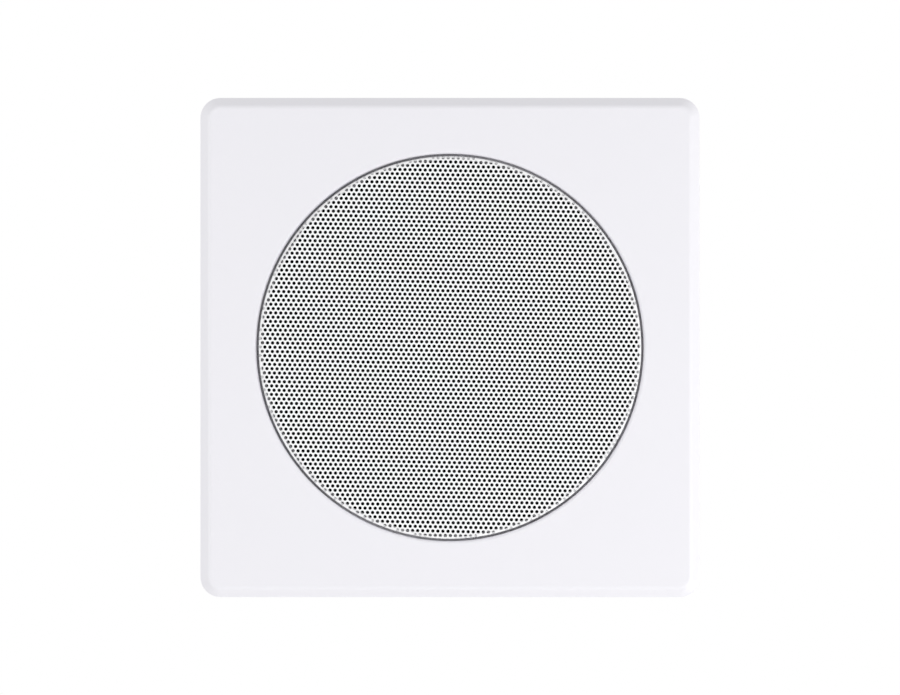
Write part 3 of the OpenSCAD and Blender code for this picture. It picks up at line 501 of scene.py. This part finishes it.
def tracks(name, routes):
    """Flat strips along routes on the board's back, in mm, each a little higher than the last."""
    shape = bmesh.new()
    ends = [pair for route in routes for pair in zip(route, route[1:])]
    for step, (start, end) in enumerate(ends):
        across, up = end[0] - start[0], end[1] - start[1]
        height = track_t * (1 + track_step * step)
        place = Matrix.Translation(((start[0] + end[0]) / 2 * MM, (board_back + height / 2) * MM,
                                    (start[1] + end[1]) / 2 * MM))
        turn = Matrix.Rotation(-atan2(up, across), 4, "Y")
        size = Matrix.Diagonal((((across ** 2 + up ** 2) ** 0.5 + track_w) * MM, height * MM,
                                track_w * MM, 1))
        bmesh.ops.create_cube(shape, size=1, matrix=place @ turn @ size)
    piece = solid(name, meshed(name, shape), masked_copper)
    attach(piece, "housing")


tracks("copper_tracks", [
    [terminal_ends[0], (-8.5, -7.5), coil_pads[0]],
    [(-8.5, -7.5), (resistor_pads[0][0], -3), resistor_pads[0], capacitor_pads[0]],
    [resistor_pads[1], capacitor_pads[1], (capacitor_pads[1][0], 18)],
    [coil_pads[1], (-17.5, woofer_pads[0][1]), woofer_pads[0]],
    [terminal_ends[1], (8.5, -6.5), (22, -6.5)]])
all_pads = capacitor_pads + resistor_pads + woofer_pads + tweeter_pads + coil_pads
joints("solder_pads", all_pads, bottom=1.7, top=1.7, height=0.4, material=solder)
joints("solder_joints", all_pads, bottom=1.2, top=0.45, height=1.0, material=solder)


def with_leads(name, node, material, angle=35):
    """A part with a body of one material between two tinned wire leads."""
    piece = dressed(name, node, "housing", material, angle)
    piece.data.materials.append(tinned)
    low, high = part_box(node)
    for face in piece.data.polygons:
        if not low.x + lead_out * MM < face.center.x < high.x - lead_out * MM:
            face.material_index = 1
    return piece


# Metallised film wrapped in tape: yellow, half gloss
film_wrap = finish("film capacitor wrap", "#D9B02C", 0.34, ior=1.55, grain=1.5, depth=0.01)
# Cement filled ceramic: chalky white with a grain like fine plaster
cement = finish("cement filled ceramic", "#E6E3D9", 0.85, grain=0.5, depth=0.05)
with_leads("film_capacitor", "capacitor", film_wrap)
with_leads("cement_resistor", "resistor", cement)
dressed("moulded_bobbin", "inductor_bobbin", "housing", black_moulding)

# The coil's top layer is one helix of wire on the layers below
coil_low, coil_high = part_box("inductor_winding")
coil_centre = middle("inductor_winding")
coil_r = (coil_high.x - coil_low.x) / 2 / MM
coil_wire_d = 0.9
bobbin_core_r = 5
# Share of the top layer's wire that stands out of the layers below
top_layer_out = 0.6


def revolved(name, section, sides, hollow=False):
    """A solid turned round local Z from a section in mm; one that isn't hollow has flat ends."""
    shape = bmesh.new()
    rings = []
    for r, z in section:
        turn = [2 * pi * i / sides for i in range(sides)]
        rings.append([shape.verts.new((r * cos(a) * MM, r * sin(a) * MM, z * MM)) for a in turn])
    pairs = list(zip(rings, rings[1:] + rings[:1])) if hollow else list(zip(rings, rings[1:]))
    for low, high in pairs:
        for i in range(sides):
            j = (i + 1) % sides
            shape.faces.new((low[i], low[j], high[j], high[i]))
    if not hollow:
        shape.faces.new(rings[0])
        shape.faces.new(rings[-1])
    bmesh.ops.recalc_face_normals(shape, faces=shape.faces)
    return meshed(name, shape)


def winding_tree(sizes, material):
    """Tree that winds one helix of round wire over the ring that it is given."""
    tree, given, out = node_tree("wound coil", sizes)
    size = given.outputs
    helix = add_node(tree, "GeometryNodeCurveSpiral", {
        "Resolution": 32, "Rotations": size["Turns"], "Start Radius": size["Helix radius"],
        "End Radius": size["Helix radius"], "Height": size["Helix height"]})
    outline = add_node(tree, "GeometryNodeCurvePrimitiveCircle",
                       {"Resolution": 8, "Radius": size["Wire radius"]})
    wire = add_node(tree, "GeometryNodeCurveToMesh",
                    {"Curve": helix, "Profile Curve": outline, "Fill Caps": True})
    lifted = add_node(tree, "GeometryNodeTransform", {
        "Geometry": wire, "Translation": add_node(tree, "ShaderNodeCombineXYZ", {
            "X": size["Centre X"], "Y": size["Centre Y"], "Z": size["Lowest turn"]})})
    both = add_node(tree, "GeometryNodeJoinGeometry", {"Geometry": size["Geometry"]})
    tree.links.new(lifted.outputs[0], both.inputs["Geometry"])
    real = add_node(tree, "GeometryNodeRealizeInstances", {0: both})
    varnished = add_node(tree, "GeometryNodeSetMaterial", {"Geometry": real, "Material": material})
    tree.links.new(varnished.outputs[0], out.inputs[0])
    return tree


# Varnished winding: the turns themselves are modelled, so the skin is only glossy
varnish = finish("varnished copper winding", "#A9582A", 0.25, metallic=1, grain=0.6, depth=0.002)
layers_r = coil_r - top_layer_out * coil_wire_d
layers = revolved("lower layers", [
    (bobbin_core_r, -coil_high.y / MM), (layers_r, -coil_high.y / MM),
    (layers_r, -coil_low.y / MM), (bobbin_core_r, -coil_low.y / MM)], sides=48, hollow=True)
layers.transform(Matrix.Translation((coil_centre[0] * MM, coil_centre[1] * MM, 0)))
coil_height = (coil_high.y - coil_low.y) / MM
winding_sizes = {
    "Turns": (coil_height - coil_wire_d) / coil_wire_d, "Wire radius": coil_wire_d / 2 * MM,
    "Helix radius": (coil_r - coil_wire_d / 2) * MM, "Helix height": (coil_height - coil_wire_d) * MM,
    "Centre X": coil_centre[0] * MM, "Centre Y": coil_centre[1] * MM,
    "Lowest turn": -coil_high.y + coil_wire_d / 2 * MM}
winding = grown("wound_inductor", layers, winding_tree(winding_sizes, varnish), winding_sizes)
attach(winding, "housing")
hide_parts("inductor_winding")

# Terminals and wires: two sprung levers in a moulded block take the loudspeaker
# cable, and four hook-up wires in soft PVC run from the board to the two drivers.

# Moulded levers: plain glossy colours, red for plus and black for minus
red_lever = finish("moulded red ABS", "#B4231F", 0.35, ior=1.53, grain=0.6, depth=0.004)
black_lever = finish("moulded glossy black ABS", "#161617", 0.3, ior=1.53, grain=0.6, depth=0.004)
# PVC sleeving: soft, waxy and a little uneven
red_sleeve = finish("red PVC sleeving", "#AE1F1B", 0.45, ior=1.53, grain=1.2, depth=0.02)
black_sleeve = finish("black PVC sleeving", "#18181A", 0.45, ior=1.53, grain=1.2, depth=0.02)
dressed("moulded_terminal_block", "terminal_block", "housing", black_moulding)
dressed("red_push_lever", "lever_red", "lever_red", red_lever)
dressed("black_push_lever", "lever_black", "lever_black", black_lever)
for driver in ("woofer", "tweeter"):
    dressed(f"{driver}_red_sleeve", f"{driver}_wire_red", "housing", red_sleeve, 60)
    dressed(f"{driver}_black_sleeve", f"{driver}_wire_black", "housing", black_sleeve, 60)

# Grille cloth: a disc of thin knitted polyester, dyed black and glued behind the
# grille, so that the holes look black and the driver doesn't show through them.

# Acoustic cloth: a deep matt black with the grain of third millimetre stitches
acoustic_cloth = finish("black acoustic cloth", "#080809", 0.95, ior=1.15, grain=0.33, depth=0.05)
dressed("acoustic_cloth_disc", "grille_cloth", "housing", acoustic_cloth)

# Grille: one disc of perforated steel sheet, pressed into a shallow lid with a
# turned-down edge and powder coated white. It is pushed into the frame's groove
# by hand, where crush ribs hold it.

# In mm, as the photo has them: the rows are a little closer than in a true hexagonal
# pattern, lean by row_slope degrees and are set off the middle. hole_reach is how far
# the holes go past the flat disc.
hole_d = 1.44
hole_pitch = 2.02
row_spacing = 1.717
row_slope = 1.2
pattern_x = -0.27
pattern_z = 0.35
punch_past = 0.3
sheet_t = 0.8
bend_r = 0.9
hole_reach = 0.8
hole_sides = 7
lid_sides = 128
lid_low, lid_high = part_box("grille")
grille_r = lid_high.x / MM
grille_face = -lid_low.y / MM
grille_end = -lid_high.y / MM
flat_r = grille_r - bend_r


def arc(centre, radius, first, last, steps=8):
    """Points along an arc of a section, from one angle to another."""
    angles = [radians(first + (last - first) * i / steps) for i in range(steps + 1)]
    return [(centre[0] + radius * cos(a), centre[1] + radius * sin(a)) for a in angles]


# Powder coat on steel: a slightly pebbled white that is glossier than the frame
white_coat = finish("white powder coat on steel", "#FAFAFB", 0.36, ior=1.5, grain=0.7, depth=0.003)


def perforation(sizes, material):
    """Tree that punches a hexagonal pattern of holes through a lid and round its bent edge."""
    tree, given, out = node_tree("perforated sheet", sizes)
    size = given.outputs
    calc = calculator(tree)
    row_height = size["Row spacing"]
    reach = calc("ADD", size["Flat radius"], size["Hole reach"])
    across = calc("ADD", calc("MULTIPLY", calc("CEIL", calc("DIVIDE", reach, row_height)), 2.0), 1.0)
    grid = add_node(tree, "GeometryNodeMeshGrid", {
        "Vertices X": across, "Vertices Y": across,
        "Size X": calc("MULTIPLY", calc("SUBTRACT", across, 1.0), size["Hole pitch"]),
        "Size Y": calc("MULTIPLY", calc("SUBTRACT", across, 1.0), row_height)})
    here = add_node(tree, "GeometryNodeInputPosition")
    part = add_node(tree, "ShaderNodeSeparateXYZ", {0: here})
    row = calc("ROUND", calc("DIVIDE", part.outputs["Y"], row_height))
    odd = calc("FLOORED_MODULO", row, 2.0)
    shift = calc("MULTIPLY", calc("MULTIPLY", odd, 0.5), size["Hole pitch"])
    staggered = add_node(tree, "ShaderNodeCombineXYZ", {
        "X": calc("ADD", part.outputs["X"], shift), "Y": part.outputs["Y"]})
    slope = calc("MULTIPLY", size["Row slope"], -1.0)
    turned = add_node(tree, "ShaderNodeVectorRotate",
                      {"Vector": staggered, "Angle": slope}, rotation_type="Z_AXIS")
    offset = add_node(tree, "ShaderNodeCombineXYZ", {"X": size["Pattern X"], "Y": size["Pattern Z"]})
    moved = add_node(tree, "ShaderNodeVectorMath", {0: turned, 1: offset}, operation="ADD")
    rows = add_node(tree, "GeometryNodeSetPosition", {"Geometry": grid, "Position": moved})

    r = add_node(tree, "ShaderNodeVectorMath", {0: here}, operation="LENGTH").outputs["Value"]
    kept = add_node(tree, "GeometryNodeDeleteGeometry",
                    {"Geometry": rows, "Selection": calc("GREATER_THAN", r, reach)})

    # Past the flat disc the pattern follows the bend, and each punch leans with it
    beyond = calc("MAXIMUM", calc("SUBTRACT", r, size["Flat radius"]), 0.0)
    lean = calc("DIVIDE", beyond, size["Bend radius"])
    middle_r = calc("SUBTRACT", size["Bend radius"], calc("MULTIPLY", size["Sheet thickness"], 0.5))
    bent_r = calc("ADD", calc("MINIMUM", r, size["Flat radius"]),
                  calc("MULTIPLY", middle_r, calc("SINE", lean)))
    bent_z = calc("ADD", calc("SUBTRACT", size["Face level"], size["Bend radius"]),
                  calc("MULTIPLY", middle_r, calc("COSINE", lean)))
    outward = add_node(tree, "ShaderNodeVectorMath", {0: here}, operation="NORMALIZE")
    flat_place = add_node(tree, "ShaderNodeVectorMath", {0: outward, "Scale": bent_r}, operation="SCALE")
    raised = add_node(tree, "ShaderNodeCombineXYZ", {"Z": bent_z})
    place = add_node(tree, "ShaderNodeVectorMath", {0: flat_place, 1: raised}, operation="ADD")
    side = add_node(tree, "ShaderNodeVectorMath",
                    {0: outward, "Scale": calc("SINE", lean)}, operation="SCALE")
    up = add_node(tree, "ShaderNodeCombineXYZ", {"Z": calc("COSINE", lean)})
    normal = add_node(tree, "ShaderNodeVectorMath", {0: side, 1: up}, operation="ADD")
    facing = add_node(tree, "FunctionNodeAlignRotationToVector", {"Vector": normal}, axis="Z")
    stored = add_node(tree, "GeometryNodeStoreNamedAttribute",
                      {"Geometry": kept, "Name": "facing", "Value": facing}, data_type="QUATERNION")
    centres = add_node(tree, "GeometryNodeSetPosition", {"Geometry": stored, "Position": place})

    punch = add_node(tree, "GeometryNodeMeshCylinder", {
        "Vertices": size["Hole sides"], "Radius": calc("MULTIPLY", size["Hole diameter"], 0.5),
        "Depth": calc("ADD", size["Sheet thickness"], punch_past * MM)})
    leaning = add_node(tree, "GeometryNodeInputNamedAttribute", {"Name": "facing"},
                       data_type="QUATERNION")
    punches = add_node(tree, "GeometryNodeInstanceOnPoints",
                       {"Points": centres, "Instance": punch, "Rotation": leaning})
    one = add_node(tree, "GeometryNodeRealizeInstances", {0: punches})
    cut = add_node(tree, "GeometryNodeMeshBoolean",
                   {"Mesh 1": size["Geometry"], "Mesh 2": one},
                   operation="DIFFERENCE", solver="MANIFOLD")
    real = add_node(tree, "GeometryNodeRealizeInstances", {0: cut})
    coated = add_node(tree, "GeometryNodeSetMaterial", {"Geometry": real, "Material": material})
    tree.links.new(coated.outputs[0], out.inputs[0])
    return tree


lid = revolved("pressed lid", [
    *arc((flat_r, grille_face - bend_r), bend_r, 90, 0),
    (grille_r, grille_end), (grille_r - sheet_t, grille_end),
    *arc((flat_r, grille_face - bend_r), bend_r - sheet_t, 0, 90)], lid_sides)
grille_sizes = {
    "Hole diameter": hole_d * MM, "Hole pitch": hole_pitch * MM, "Row spacing": row_spacing * MM,
    "Pattern X": pattern_x * MM, "Pattern Z": pattern_z * MM, "Hole sides": hole_sides,
    "Hole reach": hole_reach * MM, "Row slope": radians(row_slope), "Sheet thickness": sheet_t * MM,
    "Bend radius": bend_r * MM, "Flat radius": flat_r * MM, "Face level": grille_face * MM}
grille = grown("perforated_grille", lid, perforation(grille_sizes, white_coat), grille_sizes)
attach(grille, "housing")
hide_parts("grille")

# Studio: a white table below, a plain white surround, and two broad soft lamps. The
# right one is stronger and stands a little lower, so that it lights the lower right
# edges. A long lens looks straight on.
scene = bpy.context.scene
scene.view_settings.view_transform = "Standard"
ambient = 0.675
table_white = 0.45
table_depth = 0.6
table_size = 3.0
lens = 200
camera_distance = 2.006


def seen_directly(tree):
    """1 for what the camera sees directly, in a reflection or through glass, and 0 for light."""
    calc = calculator(tree)
    ray = add_node(tree, "ShaderNodeLightPath").outputs
    mirrored = calc("MAXIMUM", ray["Is Camera Ray"], ray["Is Glossy Ray"])
    return calc("MAXIMUM", mirrored, ray["Is Transmission Ray"])


world = bpy.data.worlds.new("white studio")
scene.world = world
world.use_nodes = True
sky = world.node_tree
strength = calculator(sky)("MULTIPLY_ADD", seen_directly(sky), 1 - ambient, ambient)
sky.links.new(strength.outputs[0], sky.nodes["Background"].inputs["Strength"])
sky.nodes["Background"].inputs["Color"].default_value = (1, 1, 1, 1)

table_mesh = bpy.data.meshes.new("white table")
half = table_size / 2
table_mesh.from_pydata([(x, y, -table_depth) for x, y in
                        ((-half, -half), (half, -half), (half, half), (-half, half))],
                       [], [(0, 1, 2, 3)])
table_top = finish("white laminate table", "#F2F2F2", 0.7, grain=4, depth=0.01)
shade = table_top.node_tree
glow = calculator(shade)("MULTIPLY", seen_directly(shade), table_white)
shade.nodes["Principled BSDF"].inputs["Emission Color"].default_value = (1, 1, 1, 1)
shade.links.new(glow.outputs[0], shade.nodes["Principled BSDF"].inputs["Emission Strength"])
table = solid("white_table", table_mesh, table_top)


def soft_lamp(name, angle, rise, power, distance=1.2, size=0.5):
    """A square softbox at an angle to the right of the camera and an angle above the middle."""
    data = bpy.data.lights.new(name, "AREA")
    data.energy = power
    data.size = size
    lamp = bpy.data.objects.new(name, data)
    level = distance * cos(radians(rise))
    lamp.location = (level * sin(radians(angle)), -level * cos(radians(angle)),
                     distance * sin(radians(rise)))
    lamp.rotation_euler = (pi / 2 - radians(rise), 0, radians(angle))
    scene.collection.objects.link(lamp)


soft_lamp("right softbox", angle=56, rise=-17.3, power=5.2)
soft_lamp("left softbox", angle=-57.7, rise=0, power=2.6)

camera_data = bpy.data.cameras.new("straight on")
camera_data.lens = lens
camera = bpy.data.objects.new("straight on", camera_data)
camera.location = (0, -camera_distance, 0)
camera.rotation_euler = (pi / 2, 0, 0)
scene.collection.objects.link(camera)
scene.camera = camera
